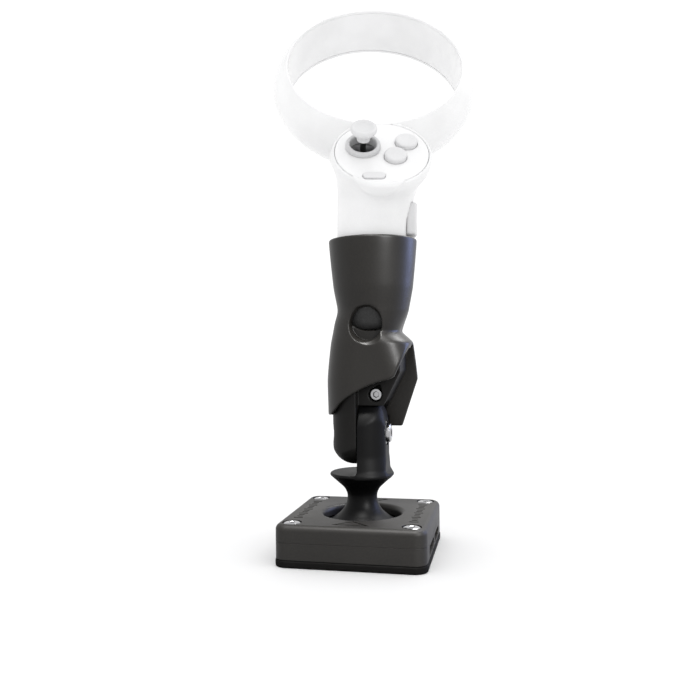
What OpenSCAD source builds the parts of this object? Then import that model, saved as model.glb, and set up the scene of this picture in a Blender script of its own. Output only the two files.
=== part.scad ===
// Motion controller in its desk stand: a flat square base with a two-axis pivot, a black stem,
// a clamped knuckle hinge, an open cup, and a ring-type hand controller that lifts out of the cup.
// Millimetres. +X right, +Y away from the user, +Z up. The origin is the middle of the base's underside.

/* [Base] */
// half the width of the square base
base_hw = 33; // [32:0.5:36]
// thickness of the rubber foot under the base
foot_h = 3.2; // [2.5:0.1:4]
// height of the joint line between the two base shells
seam_z = 10.7; // [10:0.1:11.5]
// height of the base's top face
top_z = 18.3; // [18:0.1:19]
// radius of the round opening the stem rises through
mouth_r = 17.9; // [17.5:0.1:19]
// distance of each corner screw from the two centre planes
screw_at = 26.2; // [25.5:0.1:26.6]

/* [Stem and hinge] */
// height of the pivot where the two tilt axes cross
pivot_z = 10; // [9.8:0.1:10.2]
// height of the knuckle hinge axis
hinge_z = 54.8; // [54:0.1:56]
// radius of the round post and knuckle, seen from above
column_r = 13.2; // [12.8:0.1:13.2]
// radius of the knuckle's rounded end about the hinge axis
barrel_r = 14.4; // [14:0.1:14.6]

/* [Cup] */
// how far the cup's axis stands to the right of the stem's axis
cup_x = 6; // [5.5:0.1:6.5]
// height of the cup's rim
rim_z = 143.2; // [140:0.1:148]
// wall thickness of the cup and hood
wall = 2.4; // [2.2:0.1:2.6]
// radius of the round opening in the front of the cup
port_r = 8.3; // [6:0.1:8.5]

/* [Controller] */
// turn of the controller about the cup's axis, degrees
yaw = 14; // [0:1:20]
// slope of the button face from horizontal, degrees
face_tilt = 52; // [50:1:54]
// radius of the round button face
face_r = 21; // [20.8:0.1:21.1]
// slope of the tracking ring's axis from vertical, degrees
ring_tilt = 57.3; // [56:0.1:58]
// inner radius of the tracking ring, halfway through it
ring_r = 43.85; // [43.2:0.05:44.2]

/* [Hidden] */
$fn = 72;
eps = 0.01;
in_hw = base_hw - 2.4;
pin_r = 1.25;
ring_ax = 13;
cup_out = [[17.8, 143.2], [17.95, 143.2], [19.2, 143.2], [19.9, 142.8], [20.2, 142.1],
           [20.1, 140], [19.4, 132], [18.3, 121], [17.3, 116], [16.4, 111.6], [16.2, 110]];
cup_in = [[17.95, 143.3], [17.8, 142], [17.0, 132], [15.9, 121], [15.0, 116], [14.1, 112],
          [13.7, 109], [13.4, 106.2], [12.3, 104.25], [10.2, 102.1], [8, 101.1], [5.6, 100.7],
          [0, 100.7]];
stick_at = [-8.2, 3.4];
upper_at = [11.4, 6.5];
lower_at = [5.9, -3.3];
menu_at = [-4.2, -16.2];
screw_spots = [[11, 127], [-11, 150]];

// ---------- shared shapes ----------

// A square plate with round corners.
module plate(hw, r, z0, z1) {
  translate([-hw, -hw + r, z0]) cube([2 * hw, 2 * (hw - r), z1 - z0]);
  translate([-hw + r, -hw, z0]) cube([2 * (hw - r), 2 * hw, z1 - z0]);
  for (sx = [-1, 1], sy = [-1, 1])
    translate([sx * (hw - r), sy * (hw - r), z0]) cylinder(r = r, h = z1 - z0);
}

// The same plate with its top edge rounded over by f.
module soft_plate(hw, r, z0, z1, f) {
  plate(hw, r, z0, z1 - f);
  plate(hw - f, r - f, z1 - f - eps, z1);
  for (a = [0:90:270]) rotate([0, 0, a]) {
    translate([hw - f, 0, z1 - f]) rotate([90, 0, 0])
      cylinder(r = f, h = 2 * (hw - r), center = true);
    translate([hw - r, hw - r, z1 - f]) rotate_extrude()
      intersection() {
        translate([r - f, 0]) circle(r = f, $fn = 48);
        square([r, f]);
      }
  }
}

module corners() {
  for (sx = [-1, 1], sy = [-1, 1]) translate([sx * screw_at, sy * screw_at, 0]) children();
}

// A cylinder along X from x0 to x1 at height z.
module xrod(r, x0, x1, z) {
  translate([x0, 0, z]) rotate([0, 90, 0]) cylinder(r = r, h = x1 - x0);
}

// A cylinder along Y from y0 to y1 at height z.
module yrod(r, y0, y1, z) {
  translate([0, y1, z]) rotate([90, 0, 0]) cylinder(r = r, h = y1 - y0);
}

// An upright wall of the given XZ outline between y0 and y1.
module slab(pts, y0, y1) {
  translate([0, y1, 0]) rotate([90, 0, 0]) linear_extrude(y1 - y0) polygon(pts);
}

// ---------- base ----------

module foot_pad() color("#1b1b1b") difference() {
  plate(base_hw + 0.25, 5.75, 0, foot_h);
  for (a = [0:90:270]) rotate([0, 0, a])
    translate([base_hw - 4, -12, -eps]) cube([1.2, 24, 0.6 + eps]);
}

module bottom_shell() color("#3b3a39") difference() {
  union() {
    difference() {
      plate(base_hw, 5.5, foot_h, seam_z);
      plate(in_hw, 3.1, foot_h + 2, seam_z + 1);
    }
    corners() translate([0, 0, foot_h + 1.5]) cylinder(r = 4.9, h = seam_z - foot_h - 1.5);
  }
  corners() translate([0, 0, foot_h + 2.2]) cylinder(r = 2.25, h = 8);
  for (sx = [-1, 1], sy = [-11, 11]) translate([sx * base_hw, sy, foot_h + 3.2]) {
    cube([8, 15, 4.2], center = true);
    for (e = [-7.5, 7.5]) translate([-4, e, 0]) rotate([0, 90, 0]) cylinder(r = 2.1, h = 8);
  }
}

module top_shell() color("#3b3a39") difference() {
  union() {
    difference() {
      soft_plate(base_hw, 5.5, seam_z, top_z, 2.5);
      plate(in_hw, 3.1, seam_z - 1, top_z - 2.4);
    }
    corners() translate([0, 0, seam_z]) cylinder(r = 4.9, h = 5.5);
    rotate_extrude() translate([mouth_r, top_z - 4.4]) square([2, 3]);
  }
  translate([0, 0, seam_z - 1]) cylinder(r = mouth_r, h = 9);
  rotate_extrude() difference() {
    translate([mouth_r - 0.2, top_z - 2]) square([2.2, 2.1]);
    translate([mouth_r + 2, top_z - 2]) circle(r = 2, $fn = 48);
  }
  corners() {
    translate([0, 0, seam_z - 1]) cylinder(r = 1.6, h = 9);
    translate([0, 0, top_z - 1.4]) cylinder(r = 4.3, h = 3);
  }
  for (sx = [-1, 1], k = [-6:6]) translate([sx * 25.9, k * 2.9, top_z])
    cube([k % 3 == 0 ? 3.6 : 2.2, 0.7, 0.6], center = true);
  for (a = [0, 180]) rotate([0, 0, a]) translate([0, -24.6, top_z - 0.3])
    linear_extrude(1) difference() {
      polygon([[-8.6, -3.6], [8.6, -3.6], [0, 3.9]]);
      polygon([[-6.4, -2.8], [6.4, -2.8], [0, 2.8]]);
    }
}

module corner_screws() color("#d9d9dc") corners() difference() {
  union() {
    translate([0, 0, foot_h + 3.2]) cylinder(r = 1.45, h = top_z - foot_h - 4.5);
    translate([0, 0, top_z - 1.4]) cylinder(r = 3.9, h = 0.9);
    translate([0, 0, top_z - 0.5]) cylinder(r1 = 3.9, r2 = 3.1, h = 0.6);
  }
  translate([0, 0, top_z - 1]) cylinder(r = 1.3, h = 2, $fn = 6);
}

module corner_inserts() color("#b58b3c") corners() difference() {
  translate([0, 0, foot_h + 2.2]) cylinder(r = 2.25, h = seam_z - foot_h - 2.5);
  translate([0, 0, foot_h + 2.1]) cylinder(r = 1.5, h = 8);
}

// ---------- two-axis pivot inside the base ----------

module gimbal_cradle() color("#6b6d70") difference() {
  union() {
    translate([0, 0, foot_h + 2]) cylinder(r = 17, h = 1.2);
    for (sx = [-1, 1]) translate([sx * 12.4, 0, foot_h + 2]) {
      translate([-0.8, -3, 0]) cube([1.6, 6, pivot_z - foot_h - 2]);
      translate([-0.8, 0, pivot_z - foot_h - 2]) rotate([0, 90, 0]) cylinder(r = 1.9, h = 1.6);
    }
  }
  translate([0, 0, foot_h]) cylinder(r = 11.4, h = 6);
  xrod(pin_r + 0.05, -16, 16, pivot_z);
  for (a = [45:90:315]) rotate([0, 0, a]) translate([14.6, 0, foot_h]) cylinder(r = 1.05, h = 6);
}

module cradle_screws() color("#8f9296") for (a = [45:90:315]) rotate([0, 0, a])
  translate([14.6, 0, 0]) {
    translate([0, 0, foot_h + 2.05]) cylinder(r = 1, h = 1.3);
    translate([0, 0, foot_h + 3.2]) cylinder(r = 1.9, h = 1);
  }

module gimbal_ring() color("#7d8084") difference() {
  translate([0, 0, pivot_z - 1.8]) cylinder(r = 11, h = 3.6);
  translate([0, 0, pivot_z - 3]) cylinder(r = 8, h = 6);
  xrod(pin_r, -16, 16, pivot_z);
  yrod(pin_r, -16, 16, pivot_z);
}

module outer_pins() color("#c9ccd0") {
  xrod(pin_r, 8.3, 13.2, pivot_z);
  xrod(pin_r, -13.2, -8.3, pivot_z);
}

module inner_pins() color("#c9ccd0") {
  yrod(pin_r, 3.6, 10.8, pivot_z);
  yrod(pin_r, -10.8, -3.6, pivot_z);
}

module gimbal_hub() color("#6b6d70") difference() {
  translate([0, 0, pivot_z - 2.4]) cylinder(r = 6.3, h = 7.4);
  yrod(pin_r + 0.05, -8, 8, pivot_z);
  cylinder(r = 1.55, h = 30);
  translate([0, 0, pivot_z - 3]) cylinder(r = 2.9, h = 1.9);
}

module hub_screw() color("#8f9296") {
  translate([0, 0, pivot_z - 2.2]) cylinder(r = 2.7, h = 1.1);
  translate([0, 0, pivot_z - 1.2]) cylinder(r = 1.5, h = 16);
}

// ---------- stem ----------

module stem() color("#141414") difference() {
  union() {
    rotate_extrude($fn = 96) polygon([[0, 15], [12.6, 15], [15.2, 13.2], [16.3, 13.2],
      [16.5, 13.7], [14.6, 14.7], [12.9, 15.8], [11.5, 16.9], [10.3, 17.9], [9.3, 19],
      [8.5, 20.1], [7.8, 21.3], [7.2, 22.8], [6.9, 24.3], [6.85, 25.6], [7.0, 26.9],
      [7.6, 28.4], [8.5, 29.8], [14.3, 35.2], [14.7, 35.7], [14.6, 36.3], [14.2, 36.6],
      [0, 36.6]]);
    intersection() {
      union() {
        translate([0, 0, 36]) cylinder(r = column_r, h = 34);
        translate([0, 0, 36.3]) cylinder(r1 = 14.5, r2 = column_r, h = 7.9);
      }
      union() {
        translate([0.15, 0, hinge_z]) rotate([0, 90, 0]) rotate_extrude() difference() {
          square([barrel_r, 12.05]);
          difference() {
            translate([barrel_r - 5, 7.05]) square([5.1, 5.1]);
            translate([barrel_r - 5, 7.05]) circle(r = 5, $fn = 48);
          }
        }
        slab([[0.15, 36], [15, 36], [14.7, 38.2], [12.2, 44.2], [12.2, hinge_z], [0.15, hinge_z]],
             -16, 16);
      }
    }
    difference() {
      slab([[-2.85, 36.3], [0.3, 36.3], [0.3, 39.6], [0.15, 39.6]], -12.4, 12.4);
      yrod_at(-2.85, 39.6, 3, 13);
    }
  }
  xrod(2.6, -1, 20, hinge_z);
  xrod(5.7, 10.7, 20, hinge_z);
  cylinder(r = 1.5, h = 26);
}

// A long cylinder along Y at the given x and z.
module yrod_at(x, z, r, half) {
  translate([x, half, z]) rotate([90, 0, 0]) cylinder(r = r, h = 2 * half);
}

// ---------- knuckle hinge ----------

module hinge_bolt() color("#c9ccd0") difference() {
  union() {
    xrod(2.5, -11.4, 11.6, hinge_z);
    xrod(4.4, 11.5, 13.9, hinge_z);
  }
  translate([12.4, 0, hinge_z]) rotate([0, 90, 0]) cylinder(r = 2, h = 3, $fn = 6);
}

module hinge_washers() color("#b4b7bb") difference() {
  union() {
    xrod(5.4, 10.7, 11.5, hinge_z);
    xrod(4.9, -7.2, -6.4, hinge_z);
  }
  xrod(2.5, -12, 12, hinge_z);
}

module hinge_nut() color("#c9ccd0") difference() {
  translate([-10.9, 0, hinge_z]) rotate([0, 90, 0]) cylinder(r = 4.6, h = 3.7, $fn = 6);
  xrod(2.5, -12, 12, hinge_z);
}

module knuckle() color("#2b2b2b") difference() {
  union() {
    difference() {
      intersection() {
        translate([0, 0, 40]) cylinder(r = column_r, h = 52);
        translate([-15, -15, 40]) cube([14.85, 30, 52]);
      }
      difference() {
        translate([-16, -16, 30]) cube([20, 32, hinge_z - 30]);
        translate([-column_r, 0, hinge_z]) rotate([0, 90, 0]) rotate_extrude($fn = 96)
          polygon(concat([[0, 26], [0, 0]], [for (a = [0:10:90])
            [barrel_r - 10 + 10 * sin(a), 10 - 10 * cos(a)]], [[barrel_r, 26]]));
      }
    }
    difference() {
      slab([[-0.2, 60], [7.8, 60], [11.3, 67.2], [19.2, 82.9], [19.2, 92], [-0.2, 92]], -8, 13.2);
      xrod(barrel_r + 0.6, -0.15, 30, hinge_z);
    }
  }
  xrod(2.6, -20, 5, hinge_z);
  xrod(5.2, -20, -6.35, hinge_z);
  translate([7.8, 0, 72.6]) {
    yrod(1.6, -10, 20, 0);
    yrod(3.2, -10, -2.5, 0);
    rotate([0, 26, 0]) slab([[-2.75, 1.6], [2.75, 1.6], [0, 4.9]], -9, -2.5);
  }
}

module coupler_screw() color("#d9d9dc") translate([7.8, 0, 72.6]) difference() {
  union() {
    yrod(1.5, -2.6, 15.6, 0);
    yrod(2.8, -5.6, -2.5, 0);
  }
  translate([0, -4.4, 0]) rotate([90, 0, 0]) cylinder(r = 1.4, h = 3, $fn = 6);
}

module coupler_nut() color("#c9ccd0") translate([7.8, 15.6, 72.6]) rotate([90, 0, 0])
  difference() {
    cylinder(r = 3.15, h = 2.1, $fn = 6);
    translate([0, 0, -1]) cylinder(r = 1.55, h = 4);
  }

// ---------- cup and hood ----------

// One level of the hood: round on the left, square on the right, where its near corner reaches
// to xn and its far corner to xf.
module level(z, xl, xn, xf, hy, rc) {
  translate([xl + hy, 0, z]) cylinder(r = hy, h = 0.1, $fn = 48);
  translate([xn - rc, rc - hy, z]) cylinder(r = rc, h = 0.1, $fn = 32);
  translate([xf - rc, hy - rc, z]) cylinder(r = rc, h = 0.1, $fn = 32);
}

module cup_shell() color("#3b3a39") difference() {
  union() {
    translate([cup_x, 0, 0]) rotate_extrude($fn = 96) polygon(concat(cup_out, [[0, 110], [0, 143.2]]));
    hull() {
      level(110.5, -10.3, 22.3, 22.3, 16.2, 16);
      level(104.6, -12.1, 20.3, 20.3, 15.9, 12);
    }
    hull() {
      level(104.7, -12.1, 20.3, 20.3, 15.9, 12);
      level(96.2, -13.8, 25.7, 22.4, 15.7, 1.5);
    }
    hull() {
      level(96.3, -13.8, 25.7, 22.4, 15.7, 1.5);
      level(79, -15.6, 24.3, 24.3, 15.7, 1);
    }
    hull() {
      level(79.1, -15.6, 24.3, 24.3, 15.7, 1);
      level(56.5, -15.1, 17, 17, 15.7, 1);
    }
  }
  translate([cup_x, 0, 0]) rotate_extrude($fn = 96) polygon(concat(cup_in, [[0, 143.3]]));
  translate([0, 0, 50]) cylinder(r = column_r + 0.1, h = 42.1);
  translate([0, -column_r - 0.1, 50]) cube([30, 2 * (column_r + 0.1), 42.1]);
  slab([[19.4, 91], [19.4, 96.9], [21.4, 96.9], [23.6, 95.2], [30, 95.2], [30, 91]], -13.3, 13.3);
  translate([5, 0, 104.2]) {
    yrod(port_r - 1.2, -30, -9.5, 0);
    translate([0, -13.2, 0]) rotate([90, 0, 0]) cylinder(r1 = port_r - 1.2, r2 = port_r, h = 2.4);
    translate([0, -15.5, 0]) rotate([90, 0, 0]) cylinder(r = port_r, h = 5);
    translate([0.9, -14.5, -0.8]) rotate([90, 0, 0]) cylinder(r1 = 7.9, r2 = 11.9, h = 3.4);
  }
  slab([[30, 97], [25.8, 96.2], [17.5, 80.8], [14.5, 79.6], [9.7, 78.4], [6, 77], [2.5, 75.3],
        [-1, 73.4], [-4.3, 71.3], [-7.3, 68.8], [-9.8, 65.9], [-12, 63.6], [-17, 62.8],
        [-17, 50], [30, 50]], -20, 0);
  slab([[-17, 62.8], [-2, 60], [10.7, 56.5], [30, 56.4], [30, 50], [-17, 50]], -eps, 20);
  xrod(barrel_r + 0.6, -0.15, 10.7, hinge_z);
  translate([7.8, 0, 72.6]) translate([0, 17, 0]) rotate([90, 0, 0]) cylinder(r = 3.2, h = 4, $fn = 6);
}

// ---------- controller ----------

// Places its children in the controller's own frame: across, away, up.
module ctl() { translate([cup_x, 0, 0]) rotate([0, 0, yaw]) children(); }

// Places its children on the sloping button face.
module face() { ctl() translate([3.6, -12.1, 180.6]) rotate([face_tilt, 0, 0]) children(); }

// Places its children in the middle of the tracking ring, along its axis.
module ring() {
  ctl() translate([3.75, 35.3, 226.4]) rotate([0, -2, 0]) rotate([ring_tilt, 0, 0]) children();
}

// The grip and head as one closed body, drawn t inside its outer surface.
module grip_body(t) {
  rotate_extrude($fn = 96) polygon([[0, 116 - t], [14.6 - t, 116 - t], [15.6 - t, 121],
    [16.3 - t, 132], [16.4 - t, 140], [16.4 - t, 152], [0, 152]]);
  hull() {
    translate([0, 0, 151.9]) cylinder(r = 16.4 - t, h = 0.1, $fn = 48);
    translate([2.3, -1.2, 168]) cylinder(r = 18.4 - t, h = 0.1, $fn = 48);
  }
  hull() {
    translate([2.3, -1.2, 167.9]) cylinder(r = 18.4 - t, h = 0.1, $fn = 48);
    translate([3.6, -12.1, 180.6]) rotate([face_tilt, 0, 0]) translate([0, 0, -3])
      cylinder(r = face_r + 1.4 - t, h = 3 - t / 3, $fn = 48);
    translate([-12, 15, 185]) sphere(r = 9 - t, $fn = 32);
    translate([20, 15, 184]) sphere(r = 9 - t, $fn = 32);
  }
}

// The space the tracking ring fills, with everything inside it.
module ring_room() {
  ring() rotate_extrude($fn = 96) polygon(concat([[0, ring_ax + 0.05], [0, -ring_ax - 0.05],
    [ring_out(-1) + 0.05, -ring_ax - 0.05]], [for (k = [-10:10]) [ring_out(k / 10) + 0.05, ring_ax * k / 10]],
    [[ring_out(1) + 0.05, ring_ax + 0.05]]));
}

// Everything cut out of both shell halves.
module shell_cuts() {
  face() translate([0, 0, -2.2]) cylinder(r = face_r + 0.15, h = 20);
  ring_room();
  ctl() {
    translate([-4.6, 9.8, 156.8]) cube([25.2, 23, 23.5]);
    translate([11.7, -7.3, 144.4]) cube([12.2, 14.6, 15.4]);
    trigger_axis(-20, 1.5, 50);
  }
}

// A rod along the trigger's pivot, from the given place across the controller.
module trigger_axis(x, r, h) {
  translate([x, 17, 177.2]) rotate([0, 90, 0]) cylinder(r = r, h = h);
}

module half_shell(side) {
  difference() {
    ctl() intersection() {
      union() {
        difference() {
          grip_body(0);
          grip_body(1.9);
        }
        for (p = screw_spots) translate([p[0], 8.8, p[1]]) rotate([90, 0, 0])
          cylinder(r = 2.2, h = 17.6);
      }
      translate([-60, side > 0 ? 0.02 : -80.02, 100]) cube([120, 80, 110]);
    }
    shell_cuts();
    ctl() for (p = screw_spots) translate([p[0], 30, p[1]]) rotate([90, 0, 0]) {
      cylinder(r = 1.05, h = 37);
      cylinder(r = 1.95, h = 21.5);
    }
  }
}

module front_shell() color("#ececec") half_shell(-1);
module rear_shell() color("#ececec") half_shell(1);

// The dark rounded cap that closes the lower end of the grip.
module end_cap() color("#242424") ctl() rotate_extrude($fn = 96) polygon([[0, 101.4],
  [7, 101.7], [10, 102.6], [12, 104.2], [13, 106.5], [13.3, 109], [13.75, 112], [14.55, 115.98],
  [12.6, 115.98], [12.6, 118], [11, 118], [11, 112], [9.5, 108.5], [0, 107]]);

module shell_screws() color("#9a9da1") ctl() for (p = screw_spots)
  translate([p[0], 0, p[1]]) rotate([90, 0, 0]) {
    translate([0, 0, -9.5]) cylinder(r = 1.8, h = 0.98);
    translate([0, 0, -8.6]) cylinder(r = 1, h = 14.5);
  }

module face_plate() color("#f4f4f4") face() difference() {
  translate([0, 0, -2.15]) cylinder(r = face_r, h = 2.15);
  translate([stick_at[0], stick_at[1], -3]) cylinder(r = 7.0, h = 5);
  translate([upper_at[0], upper_at[1], -3]) cylinder(r = 5.1, h = 5);
  translate([lower_at[0], lower_at[1], -3]) cylinder(r = 5.1, h = 5);
  translate([menu_at[0], menu_at[1], -3]) pill(5, 2.1, 5);
  translate([-30, 18.7, -2.2]) rotate([-41.5, 0, 0]) translate([0, 0, -5]) cube([60, 10, 20]);
}

// A flat bar with round ends: half length a, half width b, height h.
module pill(a, b, h) {
  translate([-(a - b), -b, 0]) cube([2 * (a - b), 2 * b, h]);
  for (s = [-1, 1]) translate([s * (a - b), 0, 0]) cylinder(r = b, h = h);
}

// Radii of the ring's inner wall and outer bulge, for u from -1 at its far rim to 1 at its near rim.
function ring_in(u) = ring_r - 0.95 * u;
function ring_out(u) = ring_in(u) + 0.8 + 6.25 * (1 - u * u);

module ring_outer_shell() color("#f4f4f4") ring() rotate_extrude($fn = 120) polygon(concat(
  [for (k = [-10:10]) [ring_out(k / 10), ring_ax * k / 10]],
  [[ring_in(1), ring_ax], [ring_in(0.9), 0.9 * ring_ax], [ring_in(0.9) + 1.45, 0.9 * ring_ax]],
  [for (k = [7:-1:-7]) [ring_out(k / 10) - 1.6, ring_ax * k / 10]],
  [[ring_in(-0.9) + 1.45, -0.9 * ring_ax], [ring_in(-0.9), -0.9 * ring_ax],
   [ring_in(-1), -ring_ax]]));

module ring_inner_shell() color("#f4f4f4") ring() rotate_extrude($fn = 120) polygon([
  [ring_in(-0.89), -0.89 * ring_ax], [ring_in(0.89), 0.89 * ring_ax],
  [ring_in(0.89) + 1.4, 0.89 * ring_ax], [ring_in(-0.89) + 1.4, -0.89 * ring_ax]]);

module led_strip() color("#3a5a3a") ring() {
  rotate_extrude($fn = 120) translate([ring_r + 1.8, -4]) square([0.4, 8]);
  for (k = [0:11]) rotate([0, 0, 30 * k + 15]) translate([ring_r + 2.6, 0, (k % 2) * 4 - 2])
    cube([1, 2.4, 1.6], center = true);
}

// ---------- thumbstick ----------

module stick_bezel() color("#dcdcdc") face() translate([stick_at[0], stick_at[1], 0])
  rotate_extrude() polygon([[6.9, -2.2], [6.9, 0.02], [7.9, 0.02], [7.9, 1.6], [7.4, 2.2],
                            [6.2, 2.2], [5.9, 1.7], [5.9, -2.2]]);

module stick_module() color("#2e2e2e") face() translate([stick_at[0], stick_at[1], 0])
  difference() {
    translate([-7, -7, -9.6]) cube([14, 14, 6]);
    translate([-5.6, -5.6, -8.6]) cube([11.2, 11.2, 6]);
    for (a = [0, 90]) rotate([0, 0, a]) translate([-8, 0, -6]) rotate([0, 90, 0])
      cylinder(r = 1.05, h = 16);
  }

module stick_rocker() color("#8f9296") face() translate([stick_at[0], stick_at[1], -6]) {
  difference() {
    translate([-4.6, -4.4, -1.5]) cube([9.2, 8.8, 3]);
    translate([-3.1, -2.9, -3]) cube([6.2, 5.8, 6]);
  }
  for (s = [0, 180]) rotate([0, 0, s]) translate([4.5, 0, 0]) rotate([0, 90, 0])
    cylinder(r = 1, h = 2.4);
  translate([0, 3, 0]) rotate([90, 0, 0]) cylinder(r = 0.6, h = 6);
}

module thumbstick_shaft() color("#4a4a4a") face() translate([stick_at[0], stick_at[1], -6])
  difference() {
    union() {
      translate([0, 0, -1.6]) cylinder(r = 2.1, h = 3.4);
      translate([0, 0, 1.7]) cylinder(r = 1.3, h = 11.5);
      translate([0, 0, 8]) cylinder(r1 = 1.3, r2 = 2.6, h = 2);
      translate([0, 0, 10]) cylinder(r = 2.6, h = 3.2);
    }
    translate([0, 5, 0]) rotate([90, 0, 0]) cylinder(r = 0.65, h = 10);
  }

module thumbstick_cap() color("#e4e4e4") face() translate([stick_at[0], stick_at[1], 0])
  difference() {
    union() {
      translate([0, 0, 4.2]) cylinder(r = 2.9, h = 3.4);
      translate([0, 0, 7.4]) rotate_extrude() polygon([[0, 0], [3, 0], [4.8, 0.4], [5.7, 1.2],
        [5.95, 2.2], [5.6, 3.1], [4.9, 3.5], [4.3, 3.4], [3.6, 2.9], [2, 2.6], [0, 2.5]]);
    }
    translate([0, 0, 3]) cylinder(r = 2.65, h = 1.1);
    translate([0, 0, 4]) cylinder(r = 2.65, h = 3.3);
  }

// ---------- buttons and electronics ----------

module round_button() {
  translate([0, 0, -3.2]) cylinder(r = 4.95, h = 4.6);
  translate([0, 0, 1.35]) cylinder(r1 = 4.95, r2 = 4.4, h = 0.6);
  translate([0, 0, -3.2]) cylinder(r = 5.5, h = 0.8);
  translate([0, 0, -4.4]) cylinder(r = 1.4, h = 1.4);
}

module upper_button() color("#e6e6e6") face() translate([upper_at[0], upper_at[1], 0])
  round_button();

module lower_button() color("#e6e6e6") face() translate([lower_at[0], lower_at[1], 0])
  round_button();

module menu_button() color("#e6e6e6") face() translate([menu_at[0], menu_at[1], 0]) {
  translate([0, 0, -2.9]) pill(4.9, 2, 3.6);
  translate([0, 0, -2.9]) pill(5.5, 2.6, 0.5);
}

module circuit_board() color("#1f4d33") face() difference() {
  translate([0, 0, -7.6]) cylinder(r = 15.8, h = 1.2);
  translate([stick_at[0] - 7.3, stick_at[1] - 7.3, -9]) cube([14.6, 14.6, 4]);
  translate([-30, 12, -9]) cube([60, 20, 4]);
}

module button_switches() color("#26282a") face() for (p = [upper_at, lower_at, menu_at * 0.86])
  translate([p[0], p[1], -6.4]) cylinder(r = 1.3, h = 0.7);

module battery() color("#b06a2c") ctl() {
  translate([0, -1, 121]) cylinder(r = 7.1, h = 49);
  translate([0, -1, 170]) cylinder(r = 2.7, h = 1.4);
}

module battery_contacts() color("#c9ccd0") ctl() translate([0, -1, 0]) {
  translate([0, 0, 171.4]) cylinder(r = 3.6, h = 0.4);
  for (k = [0:3]) translate([0, 0, 118.2 + 0.8 * k]) rotate_extrude()
    translate([4.2 - 0.55 * k, 0]) circle(r = 0.4, $fn = 24);
}

module haptic_motor() color("#9a9da1") ctl() {
  translate([0, 10.6, 150]) rotate([90, 0, 0]) cylinder(r = 5, h = 2.6);
  translate([-1.5, 10.4, 154]) cube([3, 0.4, 5]);
}

// ---------- trigger and grip button ----------

module trigger() color("#ececec") ctl() difference() {
  hull() {
    trigger_axis(-3, 2.8, 22, $fn = 32);
    translate([8, 21, 171]) sphere(r = 7.5, $fn = 32);
    translate([3, 19, 166]) sphere(r = 6, $fn = 32);
    translate([13, 19, 166]) sphere(r = 6, $fn = 32);
  }
  trigger_axis(-10, 1.55, 40);
  translate([4.8, 5, 173.4]) cube([6.4, 15, 12]);
}

module trigger_pin() color("#c9ccd0") ctl() trigger_axis(-6.2, 1.5, 28.4);

module trigger_spring() color("#c9ccd0") ctl() translate([8, 17, 177.2]) rotate([0, 90, 0])
  for (k = [-2:2]) translate([0, 0, k * 0.95]) rotate_extrude()
    translate([2.1, 0]) circle(r = 0.35, $fn = 24);

module grip_button() color("#f0f0f0") ctl() difference() {
  intersection() {
    translate([14.4, -7, 144.7]) cube([7, 14, 14.8]);
    translate([2, 0, 140]) cylinder(r = 18.6, h = 30);
  }
  translate([14, -5.6, 146]) cube([2.6, 11.2, 12.2]);
}

// ---------- output ----------

foot_pad();
bottom_shell();
top_shell();
corner_screws();
corner_inserts();
gimbal_cradle();
cradle_screws();
gimbal_ring();
outer_pins();
inner_pins();
gimbal_hub();
hub_screw();
stem();
hinge_bolt();
hinge_washers();
hinge_nut();
knuckle();
coupler_screw();
coupler_nut();
cup_shell();
front_shell();
rear_shell();
end_cap();
shell_screws();
face_plate();
ring_outer_shell();
ring_inner_shell();
led_strip();
stick_bezel();
stick_module();
stick_rocker();
thumbstick_shaft();
thumbstick_cap();
upper_button();
lower_button();
menu_button();
circuit_board();
button_switches();
battery();
battery_contacts();
haptic_motor();
trigger();
trigger_pin();
trigger_spring();
grip_button();
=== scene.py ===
import math

import bmesh
import bpy
import numpy as np
from mathutils import Matrix, Vector


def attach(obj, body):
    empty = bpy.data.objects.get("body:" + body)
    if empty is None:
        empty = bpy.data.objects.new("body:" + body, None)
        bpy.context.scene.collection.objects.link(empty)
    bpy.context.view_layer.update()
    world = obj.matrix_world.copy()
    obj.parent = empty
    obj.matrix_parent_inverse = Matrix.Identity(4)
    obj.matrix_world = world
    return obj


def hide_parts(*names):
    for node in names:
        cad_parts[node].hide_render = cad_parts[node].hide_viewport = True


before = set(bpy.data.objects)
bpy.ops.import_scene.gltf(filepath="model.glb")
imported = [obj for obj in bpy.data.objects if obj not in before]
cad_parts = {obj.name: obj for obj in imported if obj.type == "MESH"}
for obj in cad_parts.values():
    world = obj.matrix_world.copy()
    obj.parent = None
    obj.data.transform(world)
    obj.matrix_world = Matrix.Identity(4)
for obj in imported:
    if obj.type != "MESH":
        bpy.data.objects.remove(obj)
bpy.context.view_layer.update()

MM = 0.001  # shapes are worked out in millimetres and stored in metres
VOXEL = 1.0  # a coarser grid while trying things


def turn(degrees, axis):
    return Matrix.Rotation(math.radians(degrees), 4, axis)


WORLD = Matrix.Identity(4)
CTL = Matrix.Translation((6, 0, 0)) @ turn(14, "Z")  # across, away, up in the controller
FACE = CTL @ Matrix.Translation((3.6, -12.1, 180.6)) @ turn(52, "X")
RING = CTL @ Matrix.Translation((3.75, 35.3, 226.4)) @ turn(-2, "Y") @ turn(57.3, "X")
STICK_AT, UPPER_AT, LOWER_AT, MENU_AT = (-8.2, 3.4), (11.4, 6.5), (5.9, -3.3), (-4.2, -16.2)


# ---------- distance fields ----------
# A field takes N points in millimetres and gives N distances, negative inside.

def length(*parts):
    return np.sqrt(sum(q * q for q in parts))


def smin(a, b, k):
    """Union with a fillet of about k."""
    h = np.clip(0.5 + 0.5 * (b - a) / k, 0, 1)
    return b + (a - b) * h - k * h * (1 - h)


def smax(a, b, k):
    return -smin(-a, -b, k)


def rmax(a, b, r):
    """Intersection whose edge is a true round of radius r."""
    return np.minimum(np.maximum(a, b), -r) + length(np.maximum(a + r, 0), np.maximum(b + r, 0))


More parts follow.
